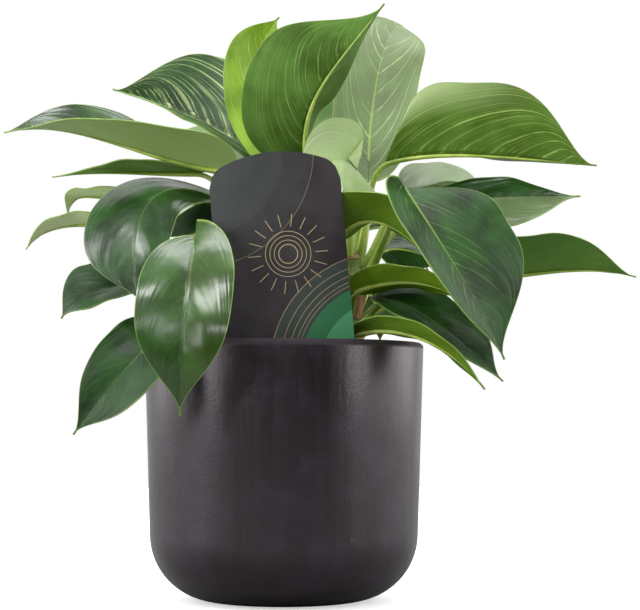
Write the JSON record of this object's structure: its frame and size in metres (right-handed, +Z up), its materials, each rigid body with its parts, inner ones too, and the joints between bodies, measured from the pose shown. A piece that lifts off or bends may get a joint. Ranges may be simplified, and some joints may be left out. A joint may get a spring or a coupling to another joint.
{
  "type": "potted philodendron",
  "caption": "Philodendron with pale-striped heart-shaped leaves on long stalks, in a nursery pot inside a dark round cover pot, with a plant tag.",
  "frame": {"origin": "centre of the cover pot's underside, on the surface it stands on", "axes": "+Z up along the pot's axis; -Y is the front, where the plant tag faces; +X is to the right seen from the front"},
  "size_m": [0.3186, 0.2274, 0.3069],
  "materials": {
    "glazed_pot": "matt charcoal glaze with a soft sheen",
    "nursery_plastic": "thin black plastic, dull",
    "peat": "damp brown peat, crumbly",
    "stem": "smooth green stem with paler scars",
    "leaf_lime": "soft young leaf, satin",
    "leaf_fresh": "satin leaf with pale veins",
    "leaf_dark": "glossy dark leaf with pale stripes and a pale margin",
    "tag_card": "printed plastic card, satin"
  },
  "bodies": {
    "root": {"cover_pot": "glazed_pot", "nursery_pot": "nursery_plastic", "peat": "peat", "stem_left": "stem", "stem_right": "stem", "stem_back": "stem", "leaf_crown_tall": "leaf_fresh", "leaf_crown_lime": "leaf_lime", "leaf_crown_back": "leaf_dark", "leaf_right_high": "leaf_fresh", "leaf_left_high": "leaf_dark", "leaf_left_long": "leaf_dark", "leaf_left_level": "leaf_dark", "leaf_front_left": "leaf_dark", "leaf_front_droop": "leaf_dark", "leaf_left_low": "leaf_dark", "leaf_left_small": "leaf_dark", "leaf_left_pale": "leaf_fresh", "leaf_left_hook": "leaf_fresh", "leaf_centre_heart": "leaf_fresh", "leaf_centre_olive": "leaf_fresh", "leaf_front_right": "leaf_dark", "leaf_right_grey": "leaf_dark", "leaf_right_mid": "leaf_dark", "leaf_right_low": "leaf_dark", "leaf_right_shaded": "leaf_dark", "leaf_right_foot": "leaf_fresh", "leaf_right_olive": "leaf_fresh", "leaf_right_gloss": "leaf_dark", "leaf_right_under": "leaf_dark", "leaf_left_under": "leaf_dark", "leaf_back_high": "leaf_fresh", "leaf_back_centre": "leaf_dark", "leaf_back_left": "leaf_fresh", "leaf_back_right": "leaf_dark", "leaf_back_lower": "leaf_dark", "leaf_back_side": "leaf_fresh", "leaf_back_foot": "leaf_dark", "leaf_left_rear": "leaf_dark", "plant_tag": "tag_card"}
  },
  "joints": []
}
